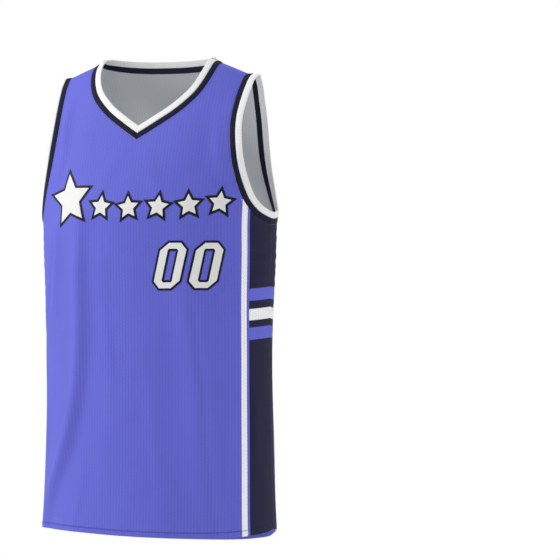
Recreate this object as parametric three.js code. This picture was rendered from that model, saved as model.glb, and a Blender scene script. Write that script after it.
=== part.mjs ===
import * as THREE from "three";

// Basketball jersey, filled out as when worn, with an empty hollow inside.
// X points to the wearer's left, -Y is the front, +Z is up, and the origin is the middle of
// the shoulder line, at the height where the neck opening meets the shoulders.
// Lengths and levels are millimetres. A turn is the angle round the body in degrees:
// 0 at the centre of a panel, 90 at the wearer's left side seam, -90 at the right one.

// Cloth
const WALL = 1.2;
const HEM_WALL = 2.4;
const HEM_DEPTH = 8;
const BAND_WALL = 1.8;
const BAND_RAISE = 0.3;
const BAND_EDGE_ROUND = 0.6;
const NAVY_WIDTH = 9;
const WHITE_WIDTH = 10.2;
const SEAM_GAP = 0.3;

// Body: level rings up to FULL_RING, and a rounded profile from there to the shoulder line,
// which bends in sooner at the centre than at the sides
const FULL_RING = -265;
const DEPTH_TO_WIDTH = 0.565;
const CENTRE_BEND = 0.12;
const SIDE_BEND = 0.42;
const RIDGE_BACK = 3;
const RINGS = [
  { level: -770, halfWidth: 200.5 },
  { level: -700, halfWidth: 197 },
  { level: -600, halfWidth: 194.3 },
  { level: -500, halfWidth: 192.5 },
  { level: -400, halfWidth: 193.5 },
  { level: -320, halfWidth: 197.5 },
  { level: -265, halfWidth: 199.5 },
];

// Shoulder line: level across the neck, then sloping down to the armholes
const SHOULDER_SLOPE = 0.42;
const SLOPE_START = 91;
const SLOPE_SOFTNESS = 20;

// Levels along the centre line and at the underarm
const UNDERARM_LEVEL = -266;
const CENTRE_BELOW_UNDERARM = 19;

// Hem levels, from the wearer's right side seam to the left one
const HEM_FRONT = [
  { turn: -90, level: -744 },
  { turn: -60, level: -747 },
  { turn: -30, level: -751 },
  { turn: 0, level: -756 },
  { turn: 25, level: -758 },
  { turn: 50, level: -757 },
  { turn: 67, level: -753.5 },
  { turn: 80, level: -750 },
  { turn: 90, level: -746 },
];
const HEM_BACK = [
  { turn: -90, level: -744 },
  { turn: -78, level: -745 },
  { turn: -66, level: -750 },
  { turn: -50, level: -759 },
  { turn: -25, level: -767 },
  { turn: 0, level: -769 },
  { turn: 25, level: -767.5 },
  { turn: 50, level: -760.5 },
  { turn: 66, level: -751.5 },
  { turn: 78, level: -747 },
  { turn: 90, level: -746 },
];

// Edge of the cloth round an armhole. The row before the underarm makes the curve cross the
// side seam level, and the last row is on the shoulder line.
const ARMHOLE = [
  { share: -0.12, level: -258, front: 105, back: 111 },
  { share: 0, level: UNDERARM_LEVEL, front: 90, back: 90 },
  { share: 0.12, level: -258, front: 74, back: 68 },
  { share: 0.21, level: -243, front: 64.6, back: 58.6 },
  { share: 0.31, level: -220, front: 57.9, back: 51.6 },
  { share: 0.46, level: -180, front: 51.8, back: 46.4 },
  { share: 0.6, level: -140, front: 48.6, back: 44.9 },
  { share: 0.74, level: -100, front: 47.4, back: 45.5 },
  { share: 0.88, level: -60, front: 48.9, back: 47.8 },
  { share: 1, level: -27.5, front: 51.3, back: 51.3 },
];

// Edge of the cloth at the neck, from the centre of a panel to the shoulder line
const NECK_FRONT = [
  { share: 0, level: -132, turn: 0 },
  { share: 0.22, level: -111, turn: 9.8 },
  { share: 0.42, level: -90, turn: 19 },
  { share: 0.62, level: -65, turn: 27 },
  { share: 0.76, level: -45, turn: 30.8 },
  { share: 0.89, level: -25, turn: 32.9 },
  { share: 1, level: -9.7, turn: 33.6 },
];
const NECK_BACK = [
  { share: 0, level: -22.5, turn: 0 },
  { share: 0.3, level: -22, turn: 9.5 },
  { share: 0.6, level: -19.5, turn: 20.5 },
  { share: 0.85, level: -14.5, turn: 30 },
  { share: 1, level: -9.7, turn: 33.6 },
];

// How the bands stand, by the share of the way from the centre or the underarm to the shoulder
// line: the lift turns a band upward, and the flare turns it away from the cloth's own slope
const NECK_STAND_FRONT = [
  { share: 0, lift: 0, flare: 0 },
  { share: 0.6, lift: 0.02, flare: 0 },
  { share: 1, lift: 0.12, flare: 0 },
];
const NECK_STAND_BACK = [
  { share: 0, lift: 0.55, flare: 0 },
  { share: 0.6, lift: 0.45, flare: 0 },
  { share: 1, lift: 0.12, flare: 0 },
];
const ARMHOLE_STAND = [
  { share: 0, lift: 0, flare: 0.04 },
  { share: 0.3, lift: 0, flare: 0.06 },
  { share: 0.6, lift: 0, flare: 0.24 },
  { share: 0.9, lift: 0.05, flare: 0.2 },
  { share: 1, lift: 0.12, flare: 0.17 },
];

// Fullness of the cloth beside each armhole, a broad fold on both halves of both panels
const FULL_LEFT = {
  rightWidth: 32,
  leftWidth: 40,
  crest: [
    { level: -36, turn: 50, height: 0 },
    { level: -60, turn: 50, height: 2.6 },
    { level: -100, turn: 50, height: 6.4 },
    { level: -140, turn: 51, height: 6.8 },
    { level: -180, turn: 53, height: 5.6 },
    { level: -220, turn: 58, height: 3.8 },
    { level: -262, turn: 66, height: 0 },
  ],
};
const FULL_RIGHT = {
  rightWidth: FULL_LEFT.leftWidth,
  leftWidth: FULL_LEFT.rightWidth,
  crest: FULL_LEFT.crest.map((row) => ({ ...row, turn: -row.turn })),
};

// Folds: each crest runs down the cloth through its rows, and falls away over the widths
// given for the side toward the wearer's right and the side toward the wearer's left
const FOLDS_FRONT = [
  FULL_LEFT,
  FULL_RIGHT,
  {
    rightWidth: 26,
    leftWidth: 17,
    crest: [
      { level: -190, turn: -27, height: 0 },
      { level: -270, turn: -29.5, height: 3.2 },
      { level: -340, turn: -30.7, height: 4.4 },
      { level: -450, turn: -31.5, height: 4.6 },
      { level: -530, turn: -34, height: 4.8 },
      { level: -625, turn: -43, height: 5 },
      { level: -700, turn: -56, height: 4.2 },
      { level: -770, turn: -64, height: 2.5 },
    ],
  },
  {
    rightWidth: 34,
    leftWidth: 17,
    crest: [
      { level: -200, turn: 27, height: 0 },
      { level: -270, turn: 29, height: 2.6 },
      { level: -395, turn: 31, height: 5 },
      { level: -475, turn: 34.5, height: 5.2 },
      { level: -555, turn: 37, height: 5 },
      { level: -655, turn: 39.5, height: 4.6 },
      { level: -770, turn: 45, height: 4.4 },
    ],
  },
  {
    rightWidth: 18,
    leftWidth: 14,
    crest: [
      { level: -250, turn: -46, height: 0 },
      { level: -295, turn: -50, height: 2.4 },
      { level: -345, turn: -56, height: 2.6 },
      { level: -400, turn: -65, height: 1.6 },
      { level: -440, turn: -70, height: 0 },
    ],
  },
  {
    rightWidth: 20,
    leftWidth: 24,
    crest: [
      { level: -540, turn: 52, height: 0 },
      { level: -640, turn: 56, height: 2.4 },
      { level: -770, turn: 62, height: 2.8 },
    ],
  },
];
const FOLDS_BACK = [
  FULL_LEFT,
  FULL_RIGHT,
  {
    rightWidth: 18,
    leftWidth: 28,
    crest: [
      { level: -150, turn: 40, height: 0 },
      { level: -250, turn: 45, height: 3.6 },
      { level: -480, turn: 45, height: 4.6 },
      { level: -680, turn: 47, height: 4.4 },
      { level: -780, turn: 50, height: 3 },
    ],
  },
  {
    rightWidth: 17,
    leftWidth: 30,
    crest: [
      { level: -300, turn: -30, height: 0 },
      { level: -420, turn: -32, height: 4.2 },
      { level: -520, turn: -32, height: 5 },
      { level: -600, turn: -31, height: 5.2 },
      { level: -690, turn: -25, height: 4.8 },
      { level: -780, turn: -14, height: 3.6 },
    ],
  },
  {
    rightWidth: 16,
    leftWidth: 18,
    crest: [
      { level: -280, turn: -50, height: 0 },
      { level: -330, turn: -54, height: 2.4 },
      { level: -380, turn: -60, height: 2.2 },
      { level: -450, turn: -68, height: 0 },
    ],
  },
];

const FRONT = {
  name: "front",
  facing: -1,
  hem: HEM_FRONT,
  neck: NECK_FRONT,
  neckStand: NECK_STAND_FRONT,
  folds: FOLDS_FRONT,
  armShareAtNeck: 0.55,
};
const BACK = {
  name: "back",
  facing: 1,
  hem: HEM_BACK,
  neck: NECK_BACK,
  neckStand: NECK_STAND_BACK,
  folds: FOLDS_BACK,
  armShareAtNeck: 0.8,
};

// Rows of the cloth grid, from the hem up, and columns from the centre to the side
const TORSO_ROWS = 20;
const CHEST_ROWS = 8;
const STRAP_ROWS = 12;
const COLUMNS = 22;
const UNDERARM_ROW = 1 + TORSO_ROWS;
const NECK_ROW = UNDERARM_ROW + CHEST_ROWS;
const TOP_ROW = NECK_ROW + STRAP_ROWS;

const UP = new THREE.Vector3(0, 0, 1);
const { lerp, degToRad, clamp } = THREE.MathUtils;

// A smooth curve through a table's rows, read at one value of its key column
function smooth(rows, key, column, at) {
  const from = clamp(rows.findLastIndex((row) => row[key] <= at), 0, rows.length - 2);
  const slope = (k) => {
    const a = rows[Math.max(k - 1, 0)];
    const b = rows[Math.min(k + 1, rows.length - 1)];
    return (b[column] - a[column]) / (b[key] - a[key]);
  };
  const start = rows[from];
  const end = rows[from + 1];
  const span = end[key] - start[key];
  const t = clamp((at - start[key]) / span, 0, 1);
  const startWeight = (1 + 2 * t) * (1 - t) ** 2;
  const endWeight = t * t * (3 - 2 * t);
  const startSlope = slope(from) * span * t * (1 - t) ** 2;
  const endSlope = slope(from + 1) * span * t * t * (t - 1);
  return startWeight * start[column] + endWeight * end[column] + startSlope + endSlope;
}

function halfWidth(level) {
  return smooth(RINGS, "level", "halfWidth", Math.min(level, FULL_RING));
}

// Level of the shoulder line at a distance from the centre
function shoulderLevel(across) {
  const past = Math.abs(across) - SLOPE_START;
  return (-SHOULDER_SLOPE * (Math.hypot(past, SLOPE_SOFTNESS) + past)) / 2;
}

// A place on the cloth is a turn and a rise. The rise is 1 on the shoulder line, 0 at FULL_RING
// and negative below it, and steps of rise are even ones over the round of the shoulder.
function riseAt(turn, level) {
  const across = halfWidth(level) * Math.sin(degToRad(turn));
  const height = (level - FULL_RING) / (shoulderLevel(across) - FULL_RING);
  return height < 0 ? height / 2 : 1 - Math.sqrt(Math.max(1 - height, 0));
}

// Share of the body's depth that is left at a share of the height up to the shoulder line
function depthShare(radians, height) {
  const bend = lerp(CENTRE_BEND, SIDE_BEND, Math.sin(radians) ** 2);
  const bent = (at) => Math.hypot(at, bend) - bend;
  return Math.sqrt(1 - bent(clamp(height, 0, 1)) / bent(1));
}

function foldHeight(folds, turn, level) {
  const radians = degToRad(turn);
  const width = halfWidth(level);
  const perDegree = degToRad(
    Math.hypot(width * Math.cos(radians), width * DEPTH_TO_WIDTH * Math.sin(radians)),
  );
  let height = 0;
  for (const fold of folds) {
    const crest = clamp(level, fold.crest.at(-1).level, fold.crest[0].level);
    const rows = fold.crest.toReversed();
    const away = (turn - smooth(rows, "level", "turn", crest)) * perDegree;
    const reach = away < 0 ? fold.rightWidth : fold.leftWidth;
    height += smooth(rows, "level", "height", crest) * Math.exp(-((away / reach) ** 2));
  }
  return height;
}

function clothPoint(panel, turn, rise) {
  const radians = degToRad(turn);
  const top = shoulderLevel(halfWidth(FULL_RING) * Math.sin(radians));
  const height = rise < 0 ? 2 * rise : 1 - (1 - rise) ** 2;
  const level = FULL_RING + (top - FULL_RING) * height;
  const width = halfWidth(level);
  const inward = depthShare(radians, height);
  const depth = width * DEPTH_TO_WIDTH;
  const out = new THREE.Vector3(
    Math.sin(radians) / width,
    (panel.facing * Math.cos(radians)) / depth,
    0,
  ).normalize();
  const y = panel.facing * depth * Math.cos(radians) * inward + RIDGE_BACK * (1 - inward);
  return new THREE.Vector3(width * Math.sin(radians), y, level).addScaledVector(
    out,
    foldHeight(panel.folds, turn, level),
  );
}

// The way out of the cloth at a place, from short steps along it
const TURN_STEP = 1;
const RISE_STEP = 0.02;
function wayOut(panel, turn, rise) {
  const right = clothPoint(panel, turn - TURN_STEP / 2, rise);
  const left = clothPoint(panel, turn + TURN_STEP / 2, rise);
  const upperRise = Math.min(rise + RISE_STEP / 2, 1);
  const upper = clothPoint(panel, turn, upperRise);
  const lower = clothPoint(panel, turn, upperRise - RISE_STEP);
  return left.sub(right).cross(upper.sub(lower)).multiplyScalar(-panel.facing).normalize();
}

function armholePlace(panel, share) {
  const turn = smooth(ARMHOLE, "share", panel.name, share);
  const rise = share === 1 ? 1 : riseAt(turn, smooth(ARMHOLE, "share", "level", share));
  return { turn, rise };
}

function neckPlace(panel, share) {
  const turn = smooth(panel.neck, "share", "turn", share);
  const rise = share === 1 ? 1 : riseAt(turn, smooth(panel.neck, "share", "level", share));
  return { turn, rise };
}

// Share of the way that a row has come along the neck edge or the armhole edge. The rows of a
// strap lie closer together toward the shoulder line.
function neckShare(panel, row) {
  return 1 - (1 - (row - NECK_ROW) / STRAP_ROWS) ** 2;
}

function armShare(panel, row) {
  if (row <= NECK_ROW) return ((row - UNDERARM_ROW) / CHEST_ROWS) * panel.armShareAtNeck;
  return lerp(panel.armShareAtNeck, 1, neckShare(panel, row));
}

// Place of a grid point on one half of a panel: side is 1 for the wearer's left half
function gridPlace(panel, side, column, row) {
  const across = column / COLUMNS;
  if (row <= UNDERARM_ROW) {
    const turn = side * 90 * across;
    const hem = smooth(panel.hem, "turn", "level", turn);
    const foot = row === 0 ? 0 : HEM_DEPTH;
    const climb = Math.max(row - 1, 0) / TORSO_ROWS;
    const top = UNDERARM_LEVEL - CENTRE_BELOW_UNDERARM * (1 - across);
    const level = lerp(hem + foot, top, climb);
    return { turn, rise: riseAt(turn, level) };
  }
  let inner;
  let outer;
  if (row <= NECK_ROW) {
    const climb = (row - UNDERARM_ROW) / CHEST_ROWS;
    const start = riseAt(0, UNDERARM_LEVEL - CENTRE_BELOW_UNDERARM);
    inner = { turn: 0, rise: lerp(start, riseAt(0, panel.neck[0].level), climb) };
    outer = armholePlace(panel, armShare(panel, row));
  } else {
    inner = neckPlace(panel, neckShare(panel, row));
    outer = armholePlace(panel, armShare(panel, row));
  }
  return {
    turn: side * lerp(inner.turn, outer.turn, across),
    rise: lerp(inner.rise, outer.rise, across),
  };
}

// A closed wall from matching outer and inner points, and the quads of the outer side
function wallGeometry(outer, inner, quads) {
  const triangles = [];
  const open = new Map();
  const count = outer.length;
  for (const [a, b, c, d] of quads) {
    triangles.push(a, b, c, a, c, d);
    triangles.push(count + a, count + c, count + b, count + a, count + d, count + c);
    for (const [from, to] of [[a, b], [b, c], [c, d], [d, a]]) {
      if (!open.delete(`${to} ${from}`)) open.set(`${from} ${to}`, [from, to]);
    }
  }
  for (const [from, to] of open.values()) {
    triangles.push(to, from, count + from, to, count + from, count + to);
  }
  return geometryOf([...outer, ...inner], triangles);
}

function geometryOf(points, triangles) {
  const geometry = new THREE.BufferGeometry().setFromPoints(points);
  geometry.setIndex(triangles);
  geometry.computeVertexNormals();
  return geometry;
}

// One panel of body cloth: the points of its outer side by half, column and row, the way out
// at each point, and the quads between them
function clothPanel(panel) {
  const points = [];
  const normals = [];
  const index = new Map();
  const at = (side, column, row) => {
    const shared = column === 0 && row <= NECK_ROW;
    return index.get(`${shared ? 1 : side} ${column} ${row}`);
  };
  for (const side of [1, -1]) {
    for (let row = 0; row <= TOP_ROW; row++) {
      for (let column = 0; column <= COLUMNS; column++) {
        if (side === -1 && column === 0 && row <= NECK_ROW) continue;
        const { turn, rise } = gridPlace(panel, side, column, row);
        index.set(`${side} ${column} ${row}`, points.length);
        points.push(clothPoint(panel, turn, rise));
        normals.push(wayOut(panel, turn, rise));
      }
    }
  }
  const quads = [];
  for (const side of [1, -1]) {
    for (let row = 0; row < TOP_ROW; row++) {
      for (let column = 0; column < COLUMNS; column++) {
        const quad = [
          at(side, column, row),
          at(side, column + 1, row),
          at(side, column + 1, row + 1),
          at(side, column, row + 1),
        ];
        quads.push(side * panel.facing < 0 ? quad : quad.reverse());
      }
    }
  }
  for (const side of [1, -1]) {
    const seam = [];
    for (let row = 0; row <= UNDERARM_ROW; row++) seam.push(at(side, COLUMNS, row));
    for (let column = 0; column <= COLUMNS; column++) seam.push(at(side, column, TOP_ROW));
    for (const k of seam) {
      points[k].y += (panel.facing * SEAM_GAP) / 2;
      normals[k].setY(0).normalize();
    }
  }
  return { panel, points, normals, quads, at };
}

function panelGeometry(cloth) {
  const hemPoints = new Set();
  for (const side of [1, -1]) {
    for (let column = 0; column <= COLUMNS; column++) {
      hemPoints.add(cloth.at(side, column, 0)).add(cloth.at(side, column, 1));
    }
  }
  const inner = cloth.points.map((point, k) =>
    point.clone().addScaledVector(cloth.normals[k], hemPoints.has(k) ? -HEM_WALL : -WALL),
  );
  return wallGeometry(cloth.points, inner, cloth.quads);
}

// Stations along a cloth edge, for a band sewn to it: each has a point, the way out and how
// the band stands there
function edgeStations(cloth, side, column, fromRow, stand, shareOf) {
  const stations = [];
  for (let row = fromRow; row <= TOP_ROW; row++) {
    const k = cloth.at(side, column, row);
    const share = shareOf(cloth.panel, row);
    stations.push({
      point: cloth.points[k].clone(),
      normal: cloth.normals[k].clone(),
      lift: smooth(stand, "share", "lift", share),
      flare: smooth(stand, "share", "flare", share),
    });
  }
  return stations;
}

// Two stations that meet at a seam become one between them
function joined(a, b) {
  return {
    point: a.point.clone().lerp(b.point, 0.5),
    normal: a.normal.clone().add(b.normal).normalize(),
    lift: (a.lift + b.lift) / 2,
    flare: (a.flare + b.flare) / 2,
  };
}

// A closed ring of stations from a front run and a back run that end on the shoulder line
function closeRing(frontRun, backRun, sharedStart) {
  const back = backRun.toReversed();
  const ring = [...frontRun.slice(0, -1), joined(frontRun.at(-1), back[0]), ...back.slice(1)];
  if (!sharedStart) return ring;
  ring[0] = joined(ring[0], ring.pop());
  return ring;
}

function armholeRing(front, back, side) {
  const run = (cloth) =>
    edgeStations(cloth, side, COLUMNS, UNDERARM_ROW, ARMHOLE_STAND, armShare);
  return closeRing(run(front), run(back), true);
}

// The neck ring goes up the wearer's left front edge, round the back and down the right side
function neckRing(front, back) {
  const run = (cloth, side) =>
    edgeStations(cloth, side, 0, NECK_ROW, cloth.panel.neckStand, neckShare);
  const left = closeRing(run(front, 1), run(back, 1), false);
  const right = closeRing(run(front, -1), run(back, -1), false);
  return [...left, ...right.slice(1, -1).reverse()];
}

// Directions of a band at each station: along keeps its width even round corners
function bandFrames(ring, inside) {
  const count = ring.length;
  const across = (from, to, station) => {
    const run = to.point.clone().sub(from.point).normalize();
    const way = new THREE.Vector3().crossVectors(station.normal, run).normalize();
    const toInside = inside.clone().sub(station.point);
    if (way.dot(toInside) < 0) way.negate();
    way.addScaledVector(station.normal, station.flare);
    return way.lerp(UP, station.lift).normalize();
  };
  return ring.map((station, k) => {
    const before = ring[(k + count - 1) % count];
    const after = ring[(k + 1) % count];
    const first = across(before, station, station);
    const second = across(station, after, station);
    const half = first.clone().add(second).normalize();
    const run = after.point.clone().sub(before.point).normalize();
    const out = new THREE.Vector3().crossVectors(half, run).normalize();
    if (out.dot(station.normal) < 0) out.negate();
    return { point: station.point, along: half.divideScalar(half.dot(first)), out };
  });
}

// A band of one colour round a ring, from one distance past the cloth edge to another. Its far
// edge is square, or cut off at the corners by the rounding.
function bandGeometry(frames, from, to, rounding) {
  const top = BAND_RAISE;
  const foot = BAND_RAISE - BAND_WALL;
  const square = [[to, top], [to, foot]];
  const rounded = [
    [to - rounding, top],
    [to, top - rounding],
    [to, foot + rounding],
    [to - rounding, foot],
  ];
  const section = [[from, top], ...(rounding > 0 ? rounded : square), [from, foot]];
  const points = frames.flatMap(({ point, along, out }) =>
    section.map(([past, height]) =>
      point.clone().addScaledVector(along, past).addScaledVector(out, height),
    ),
  );
  const triangles = [];
  const size = section.length;
  for (let k = 0; k < frames.length; k++) {
    const next = (k + 1) % frames.length;
    for (let n = 0; n < size; n++) {
      const m = (n + 1) % size;
      const [a, b, c, d] = [k * size + n, k * size + m, next * size + m, next * size + n];
      triangles.push(a, b, c, a, c, d);
    }
  }
  return geometryOf(points, facingOut(points, triangles));
}

// Turns a closed surface's triangles round if they face in
function facingOut(points, triangles) {
  let volume = 0;
  const normal = new THREE.Vector3();
  for (let k = 0; k < triangles.length; k += 3) {
    const [a, b, c] = triangles.slice(k, k + 3).map((n) => points[n]);
    volume += normal.crossVectors(b, c).dot(a);
  }
  return volume > 0 ? triangles : triangles.toReversed();
}

// Materials, with the colours of the cloth
const periwinkleMesh = new THREE.MeshStandardMaterial({
  color: "#6a67cf",
  roughness: 0.82,
  metalness: 0,
});
const navyRib = new THREE.MeshStandardMaterial({
  color: "#22233f",
  roughness: 0.85,
  metalness: 0,
});
const whiteRib = new THREE.MeshStandardMaterial({
  color: "#f2f3f2",
  roughness: 0.8,
  metalness: 0,
});

const jersey = new THREE.Group();

function add(name, geometry, material) {
  const mesh = new THREE.Mesh(geometry, material);
  mesh.name = name;
  jersey.add(mesh);
}

// The two bands of one opening: navy next to the cloth, white at the edge
function addBands(name, ring, inside) {
  const frames = bandFrames(ring, inside);
  const whiteStart = NAVY_WIDTH + SEAM_GAP;
  add(`${name}_navy`, bandGeometry(frames, SEAM_GAP, NAVY_WIDTH, 0), navyRib);
  add(
    `${name}_white`,
    bandGeometry(frames, whiteStart, whiteStart + WHITE_WIDTH, BAND_EDGE_ROUND),
    whiteRib,
  );
}

// Points that the bands of an opening lean toward
const neckMiddle = new THREE.Vector3(0, -20, -20);
const armholeMiddle = (side) => new THREE.Vector3(side * 185, 0, -140);

const frontCloth = clothPanel(FRONT);
const backCloth = clothPanel(BACK);
add("front_panel", panelGeometry(frontCloth), periwinkleMesh);
add("back_panel", panelGeometry(backCloth), periwinkleMesh);
addBands("neck_band", neckRing(frontCloth, backCloth), neckMiddle);
for (const [name, side] of [["left", 1], ["right", -1]]) {
  addBands(`${name}_armhole`, armholeRing(frontCloth, backCloth, side), armholeMiddle(side));
}

export default jersey;
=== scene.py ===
import math

import bpy
import numpy as np
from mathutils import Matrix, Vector


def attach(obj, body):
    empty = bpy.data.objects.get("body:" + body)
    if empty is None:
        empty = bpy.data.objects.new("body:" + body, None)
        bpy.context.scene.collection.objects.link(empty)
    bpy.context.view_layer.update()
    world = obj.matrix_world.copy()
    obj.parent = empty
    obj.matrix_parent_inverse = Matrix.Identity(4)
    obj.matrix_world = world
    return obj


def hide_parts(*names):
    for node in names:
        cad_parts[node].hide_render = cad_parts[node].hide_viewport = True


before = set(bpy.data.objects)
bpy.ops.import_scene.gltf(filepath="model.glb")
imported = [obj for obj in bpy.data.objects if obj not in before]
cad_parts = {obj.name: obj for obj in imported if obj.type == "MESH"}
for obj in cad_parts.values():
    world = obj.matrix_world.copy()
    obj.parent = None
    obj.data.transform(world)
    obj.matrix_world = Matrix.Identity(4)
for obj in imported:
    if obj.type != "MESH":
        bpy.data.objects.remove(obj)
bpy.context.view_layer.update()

bl_info = {
    "name": "Basketball Jersey",
    "version": (1, 0, 0),
    "blender": (4, 5, 0),
    "location": "View3D > Sidebar > Jersey",
    "description": "Dresses a filled-out sleeveless jersey: cloth, rib bands, numbers and stars",
    "category": "Object",
}

# The form is worked out in millimetres and degrees, and turned to metres where a mesh is made.
# X points to the wearer's left, -Y is the front, +Z is up. A turn is the angle round the body:
# 0 at the centre of a panel, 90 at the wearer's left side seam, -90 at the right one.
MM = 0.001
BODY = "root"
UP = np.array([0.0, 0.0, 1.0])


def table(columns, *rows):
    """A table with named columns, as arrays."""
    return {name: np.array(values, float) for name, values in zip(columns.split(), zip(*rows))}


# Sizes of the body: level rings up to FULL_RING, then a rounded profile to the shoulder line
SEAM_GAP = 0.3
FULL_RING = -265
DEPTH_TO_WIDTH = 0.565
CENTRE_BEND = 0.12
SIDE_BEND = 0.42
RIDGE_BACK = 3
SHOULDER_SLOPE = 0.42
SLOPE_START = 91
SLOPE_SOFTNESS = 20
UNDERARM_LEVEL = -266
CENTRE_BELOW_UNDERARM = 19
RINGS = table(
    "level half_width",
    (-770, 200.5), (-700, 197), (-600, 194.3), (-500, 192.5), (-400, 193.5), (-320, 197.5),
    (FULL_RING, 199.5),
)

# Edges of the panels
HEM_FRONT = table(
    "turn level",
    (-90, -744), (-60, -747), (-30, -751), (0, -756), (25, -758), (50, -757), (67, -753.5),
    (80, -750), (90, -746),
)
HEM_BACK = table(
    "turn level",
    (-90, -744), (-78, -745), (-66, -750), (-50, -759), (-25, -767), (0, -769), (25, -767.5),
    (50, -760.5), (66, -751.5), (78, -747), (90, -746),
)
ARMHOLE = table(
    "share level front back",
    (-0.12, -258, 105, 111), (0, UNDERARM_LEVEL, 90, 90), (0.12, -258, 74, 68),
    (0.21, -243, 64.6, 58.6), (0.31, -220, 57.9, 51.6), (0.46, -180, 51.8, 46.4),
    (0.6, -140, 48.6, 44.9), (0.74, -100, 47.4, 45.5), (0.88, -60, 48.9, 47.8),
    (1, -27.5, 51.3, 51.3),
)
NECK_FRONT = table(
    "share level turn",
    (0, -132, 0), (0.22, -111, 9.8), (0.42, -90, 19), (0.62, -65, 27), (0.76, -45, 30.8),
    (0.89, -25, 32.9), (1, -9.7, 33.6),
)
NECK_BACK = table(
    "share level turn",
    (0, -22.5, 0), (0.3, -22, 9.5), (0.6, -19.5, 20.5), (0.85, -14.5, 30), (1, -9.7, 33.6),
)

# Share of a cut edge from which it runs evenly up to the shoulder line
EVEN_FROM = 0.93

# How the bands stand: the lift turns a band upward, the flare away from the cloth's slope
NECK_STAND_FRONT = table("share lift flare", (0, 0, 0), (0.6, 0.02, 0), (1, 0.12, 0))
NECK_STAND_BACK = table("share lift flare", (0, 0.55, 0), (0.6, 0.45, 0), (1, 0.12, 0))
ARMHOLE_STAND = table(
    "share lift flare",
    (0, 0, 0.04), (0.3, 0, 0.06), (0.6, 0, 0.24), (0.9, 0.05, 0.2), (1, 0.12, 0.17),
)
NECK_MIDDLE = np.array([0, -20, -20])
ARMHOLE_MIDDLE = np.array([185, 0, -140])


def fold(right, left, *crest):
    """A fold: how far it reaches to either side, and its crest from the top down."""
    return {"right": right, "left": left, "crest": table("level turn height", *reversed(crest))}


# Large folds, as in the part
FULLNESS = (
    (-36, 50, 0), (-60, 50, 2.6), (-100, 50, 6.4), (-140, 51, 6.8), (-180, 53, 5.6),
    (-220, 58, 3.8), (-262, 66, 0),
)
FULL_LEFT = fold(32, 40, *FULLNESS)
FULL_RIGHT = fold(40, 32, *((level, -turn, height) for level, turn, height in FULLNESS))
FOLDS_FRONT = [
    FULL_LEFT,
    FULL_RIGHT,
    fold(
        26, 17, (-190, -27, 0), (-270, -29.5, 3.2), (-340, -30.7, 4.4), (-450, -31.5, 4.6),
        (-530, -34, 4.8), (-625, -43, 5), (-700, -56, 4.2), (-770, -64, 2.5),
    ),
    fold(
        34, 17, (-200, 27, 0), (-270, 29, 2.6), (-395, 31, 5), (-475, 34.5, 5.2), (-555, 37, 5),
        (-655, 39.5, 4.6), (-770, 45, 4.4),
    ),
    fold(
        18, 14, (-250, -46, 0), (-295, -50, 2.4), (-345, -56, 2.6), (-400, -65, 1.6),
        (-440, -70, 0),
    ),
    fold(20, 24, (-540, 52, 0), (-640, 56, 2.4), (-770, 62, 2.8)),
]
FOLDS_BACK = [
    FULL_LEFT,
    FULL_RIGHT,
    fold(18, 28, (-150, 40, 0), (-250, 45, 3.6), (-480, 45, 4.6), (-680, 47, 4.4), (-780, 50, 3)),
    fold(
        17, 30, (-300, -30, 0), (-420, -32, 4.2), (-520, -32, 5), (-600, -31, 5.2),
        (-690, -25, 4.8), (-780, -14, 3.6),
    ),
    fold(16, 18, (-280, -50, 0), (-330, -54, 2.4), (-380, -60, 2.2), (-450, -68, 0)),
]

# Smaller creases that only the dressed cloth has
CREASES_FRONT = [
    fold(
        13, 15, (-240, -26, 0), (-300, -27, 3), (-340, -27.7, 4.8), (-450, -28.2, 5.6),
        (-530, -30.5, 6), (-625, -39.5, 6), (-700, -54, 3.6), (-757, -62, 1.4),
    ),
    fold(
        26, 8, (-290, 29.5, 0), (-395, 32, 3.6), (-475, 35.5, 4.6), (-555, 38, 4.6),
        (-655, 40.5, 3.8), (-745, 44, 1.6),
    ),
    fold(
        6, 16, (-245, -45, 0), (-298, -45, 2.2), (-345, -49, 2.8), (-400, -54, 2), (-450, -58, 0),
    ),
    fold(8, 10, (-285, 60, 0), (-330, 55, 1.5), (-380, 48, 1.4), (-430, 43, 0)),
    fold(12, 9, (-300, -12, 0), (-400, -13, 0.9), (-520, -10, 1), (-660, -14, 0)),
    fold(10, 14, (-470, 10, 0), (-560, 12, 0.9), (-670, 15, 1.1), (-757, 17, 0.6)),
    fold(11, 9, (-600, -24, 0), (-680, -27, 1.2), (-757, -33, 0.9)),
    fold(8, 8, (-60, -41, 0), (-100, -43, 1), (-150, -42, 1.2), (-205, -46, 0)),
    fold(8, 8, (-70, 39, 0), (-110, 40, 0.9), (-160, 43, 1), (-215, 49, 0)),
    fold(7, 9, (-440, -72, 0), (-520, -66, 1.5), (-610, -62, 1.7), (-700, -70, 0)),
    fold(9, 8, (-500, 74, 0), (-590, 72, 1.2), (-680, 76, 0)),
    fold(14, 12, (-136, 4, 0), (-170, 8, 0.8), (-220, 14, 0.9), (-280, 18, 0)),
    fold(12, 14, (-136, -5, 0), (-165, -10, 0.7), (-215, -16, 0.8), (-270, -19, 0)),
]
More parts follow.
